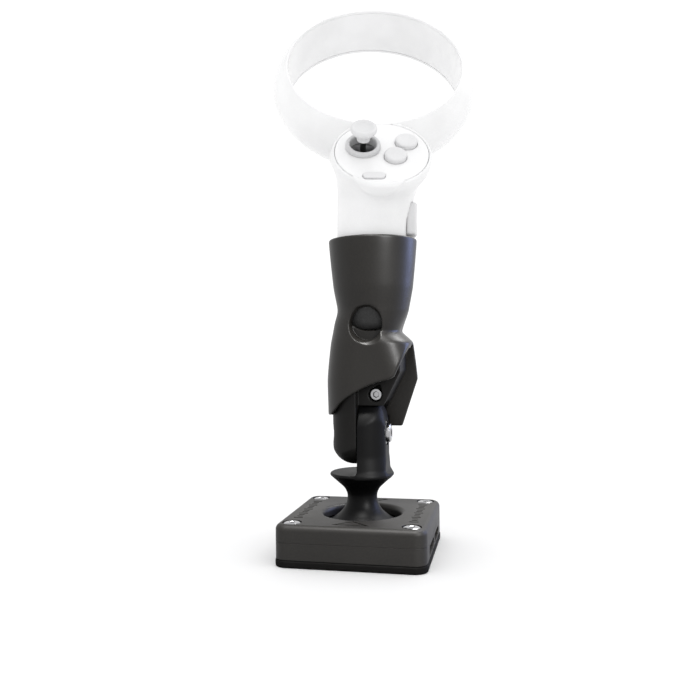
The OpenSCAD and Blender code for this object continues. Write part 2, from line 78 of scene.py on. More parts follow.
def rod(p, axis, centre, r, half, soft=0.01):
    """A cylinder along one axis, its two edges rounded by soft."""
    q = p - np.array(centre, float)
    u, v = [q[:, i] for i in range(3) if i != axis]
    return rmax(length(u, v) - r, np.abs(q[:, axis]) - half, soft)


def block(p, low, high, soft=0.01):
    low, high = np.array(low, float), np.array(high, float)
    q = np.abs(p - (low + high) / 2) - (high - low) / 2 + soft
    return length(*np.maximum(q, 0).T) + np.minimum(q.max(1), 0) - soft


def capsule(p, a, b, r):
    a, b = np.array(a, float), np.array(b, float)
    t = np.clip((p - a) @ (b - a) / ((b - a) @ (b - a)), 0, 1)
    return length(*(p - a - t[:, None] * (b - a)).T) - r


def outline(x, y, points):
    """Signed distance to a closed polygon."""
    pts = np.array(points, float)
    best, side = np.full(x.shape, 1e18), np.ones(x.shape)
    for a, b in zip(pts, np.roll(pts, 1, 0)):
        e, wx, wy = b - a, x - a[0], y - a[1]
        t = np.clip((wx * e[0] + wy * e[1]) / (e @ e), 0, 1)
        best = np.minimum(best, (wx - e[0] * t) ** 2 + (wy - e[1] * t) ** 2)
        c1, c2, c3 = y >= a[1], y < b[1], e[0] * wy > e[1] * wx
        side = np.where((c1 & c2 & c3) | ~(c1 | c2 | c3), -side, side)
    return side * np.sqrt(best)


def spline(points, n=6, closed=False):
    """A smooth curve through the points, n steps to a span."""
    p = np.array(points, float)
    ext = np.vstack([p[-1:], p, p[:2]]) if closed else np.vstack([2 * p[0] - p[1], p, 2 * p[-1] - p[-2]])
    out = []
    for i in range(len(ext) - 3):
        a, b, c, d = ext[i:i + 4]
        for t in np.arange(n) / n:
            out.append(0.5 * (2 * b + (c - a) * t + (2 * a - 5 * b + 4 * c - d) * t * t
                              + (3 * b - a - 3 * c + d) * t ** 3))
    if not closed:
        out.append(p[-1])
    return [tuple(q) for q in out]


def along(z, table, soften):
    """Values read from a table of (z, value) rows, its corners softened over about that many mm."""
    rows = np.array(sorted(table), float)
    step = 0.1
    zs = np.arange(rows[0, 0] - 5 * soften, rows[-1, 0] + 5 * soften, step)
    vs = np.interp(zs, rows[:, 0], rows[:, 1])
    m = int(4 * soften / step)
    w = np.exp(-0.5 * (np.arange(-m, m + 1) * step / soften) ** 2)
    vs = np.convolve(np.pad(vs, m, "edge"), w / w.sum(), "valid")
    return np.interp(z, zs, vs)


# ---------- from fields to meshes ----------

def sampled(field, low, h, shape):
    """The field on a grid, worked out in full only near the surface."""
    b = 4
    coarse = [n // b + 1 for n in shape]
    axes = [low[i] + h * (b * np.arange(coarse[i]) + (b - 1) / 2) for i in range(3)]
    pts = np.stack(np.meshgrid(*axes, indexing="ij"), -1).reshape(-1, 3)
    values = field(pts).reshape(coarse)
    for i in range(3):
        values = np.repeat(values, b, i)
    values = values[:shape[0], :shape[1], :shape[2]].copy()
    near = np.argwhere(np.abs(values) < 2.2 * b * h)
    for i in range(0, len(near), 400000):
        part = near[i:i + 400000]
        values[tuple(part.T)] = field(low + h * part)
    return values


def surface(values):
    """Vertices, in grid steps, and quads of the zero surface: one vertex to each cell it crosses."""
    inside = values < 0
    n = [s - 1 for s in values.shape]
    corner = [(i, j, k) for i in (0, 1) for j in (0, 1) for k in (0, 1)]
    count = sum(inside[i:i + n[0], j:j + n[1], k:k + n[2]].astype(np.int8) for i, j, k in corner)
    cells = np.argwhere((count > 0) & (count < 8))
    v = np.stack([values[tuple((cells + c).T)] for c in corner], 1)
    total, hits = np.zeros((len(cells), 3)), np.zeros(len(cells))
    for a in range(8):
        for b in range(a + 1, 8):
            step = np.array(corner[b]) - corner[a]
            if np.abs(step).sum() != 1:
                continue
            cross = (v[:, a] < 0) != (v[:, b] < 0)
            t = np.where(cross, v[:, a] / np.where(cross, v[:, a] - v[:, b], 1), 0)
            total += cross[:, None] * (np.array(corner[a]) + t[:, None] * step)
            hits += cross
    index = np.full(n, -1)
    index[tuple(cells.T)] = np.arange(len(cells))
    quads = []
    for axis in range(3):
        o1, o2 = [np.eye(3, dtype=int)[i] for i in range(3) if i != axis]
        if axis == 1:
            o1, o2 = o2, o1
        a = inside[tuple(slice(0, -1) if i == axis else slice(1, n[i]) for i in range(3))]
        b = inside[tuple(slice(1, None) if i == axis else slice(1, n[i]) for i in range(3))]
        base = np.array([0 if i == axis else 1 for i in range(3)])
        for mask, flip in ((a & ~b, False), (~a & b, True)):
            at = np.argwhere(mask) + base
            ring = [at - o1 - o2, at - o2, at, at - o1]
            ids = np.stack([index[tuple(q.T)] for q in ring], 1)
            quads.append(ids[:, ::-1] if flip else ids)
    return cells + total / hits[:, None], np.vstack(quads)


def mesh_object(name, verts, faces, matrix=WORLD):
    """A new object from points in millimetres."""
    mesh = bpy.data.meshes.new(name)
    v = np.array(verts, float) @ np.array(matrix.to_3x3()).T + np.array(matrix.translation)
    mesh.from_pydata((v * MM).tolist(), [], [list(map(int, f)) for f in faces])
    mesh.validate()
    mesh.update()
    obj = bpy.data.objects.new(name, mesh)
    bpy.context.scene.collection.objects.link(obj)
    return obj


def solid(name, field, low, high, h, matrix=WORLD):
    """A closed smooth mesh of a field inside the given box, every vertex moved onto the surface."""
    h = h * VOXEL
    low = np.array(low, float) - 2.3 * h
    shape = [int(math.ceil((high[i] + 2.3 * h - low[i]) / h)) + 1 for i in range(3)]
    verts, quads = surface(sampled(field, low, h, shape))
    verts = low + h * verts
    d = 0.05 * h
    for _ in range(3):
        value = field(verts)
        grad = np.stack([(field(verts + e) - field(verts - e)) / (2 * d) for e in d * np.eye(3)], 1)
        step = value[:, None] * grad / np.maximum((grad ** 2).sum(1), 0.2)[:, None]
        size = np.maximum(length(*step.T), 1e-9)
        verts = verts - step * np.minimum(1, 0.45 * h / size)[:, None]
    obj = mesh_object(name, verts, quads, matrix)
    obj.data.shade_smooth()
    return obj


def turned(name, profile, segments=96, matrix=WORLD, ribs=None, sharp=32):
    """A closed (radius, height) profile turned about Z. ribs(angle, k) may change ring k's radius."""
    rows = [tuple(q) for q in profile]
    angle = np.arange(segments) * 2 * math.pi / segments
    verts, faces, at = [], [], []
    for k, (r, z) in enumerate(rows):
        if r < 1e-6:
            at.append([len(verts)] * segments)
            verts.append((0, 0, z))
            continue
        rr = r + (ribs(angle, k) if ribs else 0 * angle)
        at.append(list(range(len(verts), len(verts) + segments)))
        verts += list(zip(rr * np.cos(angle), rr * np.sin(angle), np.full(segments, z)))
    for k in range(len(rows)):
        a, b = at[k], at[(k + 1) % len(rows)]
        if rows[k][0] < 1e-6 and rows[(k + 1) % len(rows)][0] < 1e-6:
            continue
        for i in range(segments):
            j = (i + 1) % segments
            face = [a[i], a[j], b[j], b[i]]
            faces.append(list(dict.fromkeys(face)))
    obj = mesh_object(name, verts, faces, matrix)
    return crisp(obj, sharp)


def outward(obj):
    """Normals of a closed mesh turned to face out."""
    bm = bmesh.new()
    bm.from_mesh(obj.data)
    bmesh.ops.recalc_face_normals(bm, faces=bm.faces)
    if bm.calc_volume(signed=True) < 0:
        bmesh.ops.reverse_faces(bm, faces=bm.faces)
    bm.to_mesh(obj.data)
    bm.free()


def crisp(obj, degrees=32):
    """Smooth shading that keeps edges sharper than the angle."""
    outward(obj)
    obj.data.shade_smooth()
    obj.data.set_sharp_from_angle(angle=math.radians(degrees))
    return obj


def applied(obj):
    """The object with its modifiers made part of its mesh."""
    graph = bpy.context.evaluated_depsgraph_get()
    mesh = bpy.data.meshes.new_from_object(obj.evaluated_get(graph))
    obj.modifiers.clear()
    obj.data = mesh
    return obj


def carved(obj, cutters):
    """Cuts the closed cutter meshes, given as (points, faces), out of the object."""
    verts, faces = [], []
    for v, f in cutters:
        faces += [[i + len(verts) for i in face] for face in f]
        verts += list(v)
    tool = mesh_object("cutter", verts, faces)
    outward(tool)
    cut = obj.modifiers.new("cut", "BOOLEAN")
    cut.operation, cut.solver, cut.object = "DIFFERENCE", "EXACT", tool
    applied(obj)
    bpy.data.objects.remove(tool)
    return obj


def softened(obj, width, degrees=40, segments=2):
    """Small round edges, and normals that leave the flats flat."""
    bevel = obj.modifiers.new("bevel", "BEVEL")
    bevel.width, bevel.segments = width * MM, segments
    bevel.limit_method, bevel.angle_limit = "ANGLE", math.radians(degrees)
    bevel.use_clamp_overlap = True
    applied(obj)
    obj.data.shade_smooth()
    obj.data.set_sharp_from_angle(angle=math.radians(50))
    flat = obj.modifiers.new("normals", "WEIGHTED_NORMAL")
    flat.keep_sharp, flat.weight = True, 80
    return applied(obj)


def prism(points, z0, z1, matrix=WORLD):
    """(points, faces) of a closed prism over a polygon."""
    n = len(points)
    v = [matrix @ Vector((x, y, z)) for z in (z0, z1) for x, y in points]
    f = [list(range(n))[::-1], list(range(n, 2 * n))]
    f += [[i, (i + 1) % n, n + (i + 1) % n, n + i] for i in range(n)]
    return [tuple(q) for q in v], f


def circle(r, n=48, x=0, y=0):
    return [(x + r * math.cos(2 * math.pi * i / n), y + r * math.sin(2 * math.pi * i / n)) for i in range(n)]


def hexed(name, head, floor_z, hex_r, matrix=WORLD, segments=72):
    """A turned screw head, its top pierced by a hexagon socket with a bevelled edge."""
    angle = np.arange(segments) * 2 * math.pi / segments
    six = math.cos(math.pi / 6) / np.cos((angle + math.pi / 6) % (math.pi / 3) - math.pi / 6)
    top = head[-1][1]
    rings = [(r + 0 * angle, z) for r, z in head]
    for k, (grow, z) in enumerate([(0.35, top), (0.16, top - 0.05), (0.0, top - 0.2),
                                   (0.0, floor_z + 0.1), (-0.12, floor_z)]):
        mix = 0.6 if k == 0 else 1.0
        rings.append(((hex_r * (mix * six + (1 - mix)) + grow), z))
    verts, faces = [], []
    for r, z in rings:
        verts += list(zip(r * np.cos(angle), r * np.sin(angle), np.full(segments, z)))
    for k in range(len(rings) - 1):
        for i in range(segments):
            j = (i + 1) % segments
            faces.append([k * segments + i, k * segments + j, (k + 1) * segments + j, (k + 1) * segments + i])
    faces.append(list(range(segments))[::-1])
    faces.append([(len(rings) - 1) * segments + i for i in range(segments)])
    return crisp(mesh_object(name, verts, faces, matrix), 28)


def joined(name, parts):
    """One object from several."""
    verts, faces = [], []
    for o in parts:
        n = len(verts)
        verts += [tuple(v.co / MM) for v in o.data.vertices]
        faces += [[n + i for i in f.vertices] for f in o.data.polygons]
        bpy.data.objects.remove(o)
    return crisp(mesh_object(name, verts, faces), 30)


# ---------- materials ----------

def shader(name):
    m = bpy.data.materials.new(name)
    m.use_nodes = True
    t = m.node_tree
    return m, t, t.nodes["Principled BSDF"]


def noise(t, scale, detail=2.0, stretch=(1, 1, 1), roughness=0.5):
    """A noise texture in the object's own metres."""
    where = t.nodes.new("ShaderNodeTexCoord")
    grid = t.nodes.new("ShaderNodeMapping")
    grid.inputs["Scale"].default_value = stretch
    tex = t.nodes.new("ShaderNodeTexNoise")
    tex.inputs["Scale"].default_value = scale
    tex.inputs["Detail"].default_value = detail
    tex.inputs["Roughness"].default_value = roughness
    t.links.new(where.outputs["Object"], grid.inputs["Vector"])
    t.links.new(grid.outputs["Vector"], tex.inputs["Vector"])
    return tex.outputs["Fac"]


def spread(t, value, low, high, out_low, out_high):
    n = t.nodes.new("ShaderNodeMapRange")
    for key, v in zip(("From Min", "From Max", "To Min", "To Max"), (low, high, out_low, out_high)):
        n.inputs[key].default_value = v
    t.links.new(value, n.inputs["Value"])
    return n.outputs["Result"]


def blend(t, fac, a, b):
    """Colour a or b, by fac; either may be a socket."""
    n = t.nodes.new("ShaderNodeMix")
    n.data_type = "RGBA"
    t.links.new(fac, n.inputs[0])
    for key, c in ((6, a), (7, b)):
        if isinstance(c, tuple):
            n.inputs[key].default_value = (*c, 1)
        else:
            t.links.new(c, n.inputs[key])
    return n.outputs[2]


def tint(c, k):
    return tuple(min(1.0, x * k) for x in c)


def bumped(t, p, layers):
    """Adds height layers (texture socket, strength, depth in mm) as one chain of bumps."""
    last = None
    for value, strength, depth in layers:
        n = t.nodes.new("ShaderNodeBump")
        n.inputs["Strength"].default_value = strength
        n.inputs["Distance"].default_value = depth * MM
        t.links.new(value, n.inputs["Height"])
        if last is not None:
            t.links.new(last, n.inputs["Normal"])
        last = n.outputs["Normal"]
    t.links.new(last, p.inputs["Normal"])


def plastic(name, colour, rough, specular=0.35, speckle=0.25, grain=0.2, edge=0.0, coat=0.0, grain_mm=0.35):
    """Moulded plastic: fine spark-eroded grain, a speckle of pigment, and slow changes of gloss. edge sets a
    painted highlight that lightens the colour along convex edges.
    """
    m, t, p = shader(name)
    fine = noise(t, 1000 / grain_mm, 3)
    slow = noise(t, 45, 3)
    flecks = spread(t, noise(t, 1400, 2, roughness=0.7), 0.42, 0.66, 0, 1)
    body = blend(t, flecks, tint(colour, 1 - speckle), tint(colour, 1 + speckle))
    cloud = blend(t, spread(t, slow, 0.3, 0.7, 0, 1), tint(colour, 0.9), tint(colour, 1.08))
    mix = t.nodes.new("ShaderNodeMix")
    mix.data_type = "RGBA"
    mix.inputs[0].default_value = 0.5
    t.links.new(body, mix.inputs[6])
    t.links.new(cloud, mix.inputs[7])
    colour_out = mix.outputs[2]
    if edge > 0:
        # Painted highlight: convex edges, found by pointiness, are given a lighter colour.
        geo = t.nodes.new("ShaderNodeNewGeometry")
        painted_edge_highlight = spread(t, geo.outputs["Pointiness"], 0.52, 0.6, 0, edge)
        colour_out = blend(t, painted_edge_highlight, colour_out, tint(colour, 2.2))
    t.links.new(colour_out, p.inputs["Base Color"])
    t.links.new(spread(t, slow, 0.25, 0.75, rough - 0.05, rough + 0.06), p.inputs["Roughness"])
    p.inputs["Specular IOR Level"].default_value = specular
    if coat:
        p.inputs["Coat Weight"].default_value = coat
        p.inputs["Coat Roughness"].default_value = 0.12
    bumped(t, p, [(fine, grain, 0.05), (noise(t, 160, 2), 0.12, 0.12)])
    return m


def metal(name, colour, rough, brushed=(1, 1, 1), scratch=0.1):
    """Plated or machined metal with fine tool marks."""
    m, t, p = shader(name)
    marks = noise(t, 900, 4, brushed)
    slow = noise(t, 220, 2)
    t.links.new(blend(t, spread(t, slow, 0.3, 0.7, 0, 1), tint(colour, 0.86), colour), p.inputs["Base Color"])
    t.links.new(spread(t, marks, 0.3, 0.7, rough * 0.75, rough * 1.3), p.inputs["Roughness"])
    p.inputs["Metallic"].default_value = 1.0
    bumped(t, p, [(marks, scratch, 0.03)])
    return m


def rubber(name, colour):
    m, t, p = shader(name)
    cells = t.nodes.new("ShaderNodeTexVoronoi")
    where = t.nodes.new("ShaderNodeTexCoord")
    cells.inputs["Scale"].default_value = 1100
    t.links.new(where.outputs["Object"], cells.inputs["Vector"])
    dust = spread(t, noise(t, 90, 4), 0.45, 0.75, 0, 0.5)
    t.links.new(blend(t, dust, colour, tint(colour, 1.6)), p.inputs["Base Color"])
    t.links.new(spread(t, noise(t, 300, 2), 0.3, 0.7, 0.62, 0.8), p.inputs["Roughness"])
    p.inputs["Specular IOR Level"].default_value = 0.05
    bumped(t, p, [(cells.outputs["Distance"], 0.35, 0.08)])
    return m


def laminate(name):
    """A green circuit board with copper tracks under the lacquer."""
    m, t, p = shader(name)
    where = t.nodes.new("ShaderNodeTexCoord")
    tracks = t.nodes.new("ShaderNodeTexBrick")
    tracks.inputs["Scale"].default_value = 260
    tracks.inputs["Mortar Size"].default_value = 0.08
    tracks.inputs["Color1"].default_value = (0.02, 0.11, 0.05, 1)
    tracks.inputs["Color2"].default_value = (0.025, 0.13, 0.06, 1)
    tracks.inputs["Mortar"].default_value = (0.05, 0.2, 0.09, 1)
    t.links.new(where.outputs["Object"], tracks.inputs["Vector"])
    t.links.new(tracks.outputs["Color"], p.inputs["Base Color"])
    t.links.new(spread(t, noise(t, 300, 2), 0.3, 0.7, 0.25, 0.4), p.inputs["Roughness"])
    bumped(t, p, [(tracks.outputs["Fac"], 0.3, 0.04)])
    return m


MAT = {
    # shell and base pass edge 0.12, a painted highlight along their convex edges.
    "shell": plastic("satin_charcoal", (0.0065, 0.0058, 0.005), 0.4, 0.25, 0.3, 0.2, 0.12),
    "base": plastic("grained_charcoal", (0.0075, 0.0068, 0.006), 0.5, 0.25, 0.35, 0.3, 0.12),
    "black": plastic("satin_black", (0.001, 0.001, 0.0011), 0.45, 0.09, 0.35, 0.2),
    "knuckle": plastic("matt_charcoal", (0.003, 0.0028, 0.0026), 0.5, 0.12, 0.3, 0.25),
    "dark": plastic("moulded_black", (0.012, 0.012, 0.012), 0.45, 0.3),
    "cap": plastic("end_cap_grey", (0.03, 0.03, 0.03), 0.6, 0.2, 0.35, 0.4, grain_mm=0.5),
    "white": plastic("white_shell", (0.82, 0.82, 0.822), 0.34, 0.35, 0.02, 0.06, coat=0.1),
    "gloss": plastic("white_gloss", (0.83, 0.83, 0.832), 0.2, 0.35, 0.01, 0.03, coat=0.2),
    "grey": plastic("soft_grey", (0.6, 0.6, 0.605), 0.5, 0.4, 0.06, 0.25),
    "pale": plastic("pale_key", (0.7, 0.7, 0.705), 0.35, 0.45, 0.03, 0.1),
    "foot": rubber("foot_rubber", (0.0026, 0.0024, 0.0023)),
    "chrome": metal("bright_steel", (0.38, 0.38, 0.39), 0.18),
    "steel": metal("plain_steel", (0.56, 0.57, 0.58), 0.3, (1, 1, 6)),
    "alloy": metal("cast_alloy", (0.42, 0.43, 0.44), 0.45, scratch=0.3),
    "brass": metal("brass", (0.72, 0.5, 0.2), 0.3, (6, 6, 1)),
    "board": laminate("board_green"),
    "cell": plastic("cell_wrap", (0.5, 0.2, 0.06), 0.35, 0.5, 0.05, 0.05),
}


def dress(obj, material, body=None, slot=None, *nodes):
    """Gives a piece its material, and says what it rides on and which nodes it stands for."""
    obj.data.materials.clear()
    obj.data.materials.append(MAT[material])
    if body:
        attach(obj, body)
    if nodes:
        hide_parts(*nodes)
    return obj


# ---------- base ----------

def square_ring(half, r, steps=22, arc=10):
    """Points round a rounded square, always the same number, starting on the right side."""
    out = []
    for q in range(4):
        c, s = math.cos(q * math.pi / 2), math.sin(q * math.pi / 2)
        side = [(half, (half - r) * (2 * i / steps - 1)) for i in range(steps)]
        side += [(half - r + r * math.cos(a), half - r + r * math.sin(a))
                 for a in np.arange(arc) * math.pi / 2 / arc]
        out += [(x * c - y * s, x * s + y * c) for x, y in side]
    return out


def loft(name, rings, close=True, caps=False):
    """Quads between rings of equal count. close joins the last ring to the first."""
    n = len(rings[0])
    verts = [q for ring in rings for q in ring]
    pairs = len(rings) if close else len(rings) - 1
    faces = [[k * n + i, k * n + (i + 1) % n, (k + 1) % len(rings) * n + (i + 1) % n,
              (k + 1) % len(rings) * n + i] for k in range(pairs) for i in range(n)]
    if caps:
        faces += [list(range(n))[::-1], [(len(rings) - 1) * n + i for i in range(n)]]
    obj = mesh_object(name, verts, faces)
    outward(obj)
    return obj


def square_at(half, r, z):
    return [(x, y, z) for x, y in square_ring(half, r)]


SEAM, TOP, FOOT = 10.7, 18.3, 3.2  # heights of the joint between the halves, the top and the foot
HALF, CORNER = 33, 5.5  # half width of the base and the radius of its upright corners
WALL = 2.4
RIM_R = 2.5  # round of the top's outer edge
MOUTH_R, MOUTH_ROUND = 17.9, 2.2
MOUTH_LOW = TOP - 4.4
SCREW_AT, RECESS_R = 26.2, 4.3


def circle_at(r, z):
    """A circle with its points at the same bearings as the rounded square's."""
    return [(r * x / math.hypot(x, y), r * y / math.hypot(x, y), z) for x, y in square_ring(HALF, CORNER)]


def quarter(n=6):
    return [math.pi / 2 * i / n for i in range(n + 1)]


def inset(e, z):
    """The base's outline at height z, moved in by e."""
    return square_at(HALF - e, CORNER - e, z)


rings = [inset(0.18, SEAM + 0.02), inset(0.05, SEAM + 0.06), inset(0, SEAM + 0.16)]
rings += [inset(RIM_R * (1 - math.cos(a)), TOP - RIM_R + RIM_R * math.sin(a)) for a in quarter()]
rings += [circle_at(MOUTH_R + MOUTH_ROUND * (1 - math.sin(a)), TOP - MOUTH_ROUND * (1 - math.cos(a)))
          for a in quarter()]
rings += [circle_at(MOUTH_R, MOUTH_LOW), circle_at(MOUTH_R + 2, MOUTH_LOW),
          circle_at(MOUTH_R + 2, TOP - WALL), inset(WALL, TOP - WALL), inset(WALL, SEAM + 0.02)]
top = loft("base_cover", rings)
cuts = []
for sx in (-1, 1):
    for k in range(-6, 7):
        w = 2.1 if k % 3 == 0 else 1.3
        x, y = sx * 25.9, k * 2.9
        tick = [(x - w, y - 0.55), (x + w, y - 0.55), (x + w, y + 0.55), (x - w, y + 0.55)]
        cuts.append(prism(tick, TOP - 0.8, TOP + 1))
    for sy in (-1, 1):
        cuts.append(prism(circle(RECESS_R, 64, sx * SCREW_AT, sy * SCREW_AT), TOP - 1.4, TOP + 1))
for a in (0, 180):
    m = turn(a, "Z") @ Matrix.Translation((0, -24.6, 0))
    outer, inner = [(-8.6, -3.6), (8.6, -3.6), (0, 3.9)], [(-6.0, -2.6), (6.0, -2.6), (0, 2.4)]
    for i in range(3):
        j = (i + 1) % 3
        cuts.append(prism([outer[i], outer[j], inner[j], inner[i]], TOP - 0.7, TOP + 1, m))
carved(top, cuts)
softened(top, 0.14)
dress(top, "base", "base", "dark_plastic", "top_shell")

rings = [inset(WALL, FOOT + 2), inset(WALL, SEAM - 0.02), inset(0.18, SEAM - 0.02), inset(0.05, SEAM - 0.06),
         inset(0, SEAM - 0.16), inset(0, FOOT + 0.35), inset(0.3, FOOT + 0.02)]
low = loft("base_tray", rings, close=False, caps=True)


def slot_cut(x0, x1, y):
    """A lengthways slot with round ends, through the side wall."""
    pts = [(7.5 * s + 2.1 * math.cos(a), 2.1 * math.sin(a)) for s, a0 in ((1, -90), (-1, 90))
           for a in (math.radians(a0 + 15 * i) for i in range(13))]
    sideways = Matrix(((0, 0, 1, 0), (1, 0, 0, 0), (0, 1, 0, 0), (0, 0, 0, 1)))
    return prism(pts, x0, x1, Matrix.Translation((0, y, FOOT + 3.2)) @ sideways)


carved(low, [slot_cut(*x, y) for x in ((28, 40), (-40, -28)) for y in (-11, 11)])
softened(low, 0.3)
dress(low, "base", "base", "dark_plastic", "bottom_shell")

edge = [(0.7, 0.0), (0.3, 0.12), (0.08, 0.4), (0, 0.8), (0, 2.3), (0.05, 2.7), (0.2, 3.0), (0.55, FOOT)]
rings = [inset(e - 0.25, z) for e, z in edge]
foot = loft("base_foot", rings, close=False, caps=True)
grooves = [prism([(29, -12), (30.2, -12), (30.2, 12), (29, 12)], -1, 0.6, turn(a, "Z"))
           for a in (0, 90, 180, 270)]
carved(foot, grooves)
softened(foot, 0.12)
dress(foot, "foot", "base", "foot_rubber", "foot_pad")

heads = []
for sx in (-1, 1):
    for sy in (-1, 1):
        shape = [(1.45, FOOT + 3.2), (1.45, TOP - 1.41), (3.6, TOP - 1.4), (3.85, TOP - 1.3),
                 (3.9, TOP - 1.1), (3.9, TOP - 0.75), (3.82, TOP - 0.5), (3.55, TOP - 0.28),
                 (3.1, TOP - 0.08), (2.6, TOP + 0.04), (2.1, TOP + 0.1)]
        place = Matrix.Translation((sx * SCREW_AT, sy * SCREW_AT, 0)) @ turn(25 * sx + 40 * sy, "Z")
        heads.append(hexed("head", shape, TOP - 0.95, 1.35, place))
corner_heads = dress(joined("corner_screw_set", heads), "chrome", "base", "bright_steel", "corner_screws")


# ---------- stem ----------

HINGE = 54.8  # height of the hinge bolt
POST_R, BARREL_R = 13.2, 14.4  # the round of the post, and of both hinge halves about the bolt
FLAT_X = 12.2
FLARE = spline([(16.3, 13.25), (16.5, 13.7), (14.6, 14.7), (12.9, 15.8), (11.5, 16.9), (10.3, 17.9),
                (9.3, 19), (8.5, 20.1), (7.8, 21.3), (7.2, 22.8), (6.9, 24.3), (6.85, 25.6), (7.0, 26.9),
                (7.6, 28.4), (8.5, 29.8), (10.4, 31.6), (12.4, 33.4), (14.2, 35.0), (14.7, 35.6),
                (14.65, 36.2), (14.2, 36.6)], 3)
FLARE = [(0, 15.2), (12.4, 15.2), (15.2, 13.25)] + FLARE + [(0, 36.6)]


def stem_field(p):
    """Flared foot, plate and the half post with its rounded top, bored for the hinge bolt."""
    x, y, z = p.T
    rho = length(x, y)
    foot_part = outline(rho, z, FLARE)
    wide = along(z, [(36, 14.45), (38.4, 14.2), (44.5, POST_R), (80, POST_R)], 0.8)
    flat = along(z, [(36, 15.2), (38.3, 14.6), (44.3, FLAT_X), (80, FLAT_X)], 0.8)
    post = rmax(rho - wide, x - flat, 0.7)
    barrel = rmax(length(y, np.maximum(z - HINGE, 0)) - BARREL_R, x - FLAT_X, 5)
    post = smax(post, barrel, 0.5 + 5.5 * np.clip((z - 58) / 8, 0, 1))
    post = rmax(post, 0.15 - x, 0.4)
    post = np.maximum(post, 35.5 - z)
    d = smin(foot_part, post, 2.4)
    d = np.maximum(d, np.where(z > 40, 0.15 - x, d))
    d = smax(d, -rod(p, 0, (16, 0, HINGE), 5.7, 5.3), 0.35)
    d = np.maximum(d, -rod(p, 0, (8, 0, HINGE), 2.6, 9))
    return np.maximum(d, -rod(p, 2, (0, 0, 16), 1.5, 10))


stem = solid("stem_post", stem_field, (-16.6, -16.6, 13.2), (16.6, 16.6, 69.4), 0.42)
dress(stem, "black", "stem_body", "black_plastic", "stem")

LEFT_TO_RIGHT = Matrix.Translation((0, 0, HINGE)) @ turn(90, "Y")
head = [(2.5, -11.4), (2.5, 11.49), (4.0, 11.5), (4.35, 11.62), (4.4, 11.9), (4.4, 13.0), (4.25, 13.45),
        (3.85, 13.78), (3.2, 13.9), (2.6, 13.9)]
bolt = hexed("hinge_bolt_head", head, 12.4, 2.0, LEFT_TO_RIGHT)
dress(bolt, "chrome", "stem_body", "bright_steel", "hinge_bolt")


COS30 = 0.866


def hexagon(u, v, corner_r):
    """Distance to a hexagon with its corners on the given radius."""
    sides = [np.abs(u), np.abs(0.5 * u + COS30 * v), np.abs(0.5 * u - COS30 * v)]
    return np.maximum.reduce(sides) - corner_r * COS30


def nut_field(p, r, z0, z1, bore):
    """A bored hexagon nut between two heights, its corners turned off at both ends."""
    x, y, z = p.T
    rho = length(x, y)
    ends = np.abs(z - (z0 + z1) / 2) - (z1 - z0) / 2
    d = smax(hexagon(x, y, r), ends, 0.12)
    d = smax(d, rho + 0.986 * ends - 0.93 * r, 0.1)
    return smax(d, bore - rho, 0.15)


nut = solid("hinge_nut_hex", lambda p: nut_field(p, 4.6, -10.9, -7.2, 2.55), (-4.7, -4.7, -10.9),
            (4.7, 4.7, -7.2), 0.2, LEFT_TO_RIGHT)
dress(nut, "chrome", "stem_body", "bright_steel", "hinge_nut")


# ---------- knuckle ----------

BLOCK = [(-0.4, 60), (7.8, 60), (11.3, 67.2), (19.2, 82.9), (19.2, 92), (-0.4, 92)]
SCREW_X, SCREW_Z = 7.8, 72.6


def knuckle_field(p):
    """The hinge's other half, and the block that fills the hood, with the window for its screw."""
    x, y, z = p.T
    rho = length(x, y)
    lobe = rmax(rho - POST_R, x + 0.15, 0.35)
    barrel = rmax(length(y, np.minimum(z - HINGE, 0)) - BARREL_R, -POST_R - x, 10)
    lobe = smax(lobe, barrel, 0.35)
    wall = outline(x, z, BLOCK)
    chunk = rmax(wall, np.maximum(-8 - y, y - POST_R), 0.6)
    chunk = smax(chunk, -rmax(length(y, z - HINGE) - 15, -0.15 - x, 0.01), 0.4)
    d = smin(lobe, chunk, 0.4)
    d = rmax(d, z - 92, 0.3)
    d = np.maximum(d, -rod(p, 0, (-8, 0, HINGE), 2.6, 12))
    d = smax(d, -rod(p, 0, (-16.35, 0, HINGE), 5.2, 10), 0.4)
    u, w = x - SCREW_X, z - SCREW_Z
    c, s = math.cos(math.radians(26)), math.sin(math.radians(26))
    tip = outline(c * u - s * w, s * u + c * w, [(-2.9, 1.35), (2.9, 1.35), (0.35, 5.0), (-0.35, 5.0)])
    window = np.maximum(smin(length(u, w) - 3.2, tip, 0.5), y + 2.5)
    d = smax(d, -window, 0.35)
    return np.maximum(d, 1.6 - length(u, w))


knuckle = solid("knuckle_block", knuckle_field, (-13.3, -13.3, 40.3), (19.3, 13.3, 92.1), 0.42)
dress(knuckle, "knuckle", "cup", "knuckle_plastic", "knuckle")

ACROSS = Matrix.Translation((SCREW_X, 0, SCREW_Z)) @ turn(90, "X")
head = [(1.5, -15.6), (1.5, 2.49), (2.6, 2.5), (2.78, 2.6), (2.8, 2.8), (2.8, 5.0), (2.7, 5.35), (2.45, 5.55),
        (1.9, 5.6)]
screw = hexed("coupler_screw_head", head, 4.4, 1.4, ACROSS)
dress(screw, "chrome", "cup", "bright_steel", "coupler_screw")
nut = solid("coupler_nut_hex", lambda p: nut_field(p, 3.15, -15.6, -13.5, 1.55), (-3.3, -3.3, -15.6),
            (3.3, 3.3, -13.5), 0.16, ACROSS)
dress(nut, "chrome", "cup", "bright_steel", "coupler_nut")


# ---------- cup and hood ----------
# Each level of the outer skin: height, left end, right end at the near and far side, half depth,
# and the round of its near and far right corners. From 110.5 up the levels are the cup's circles.

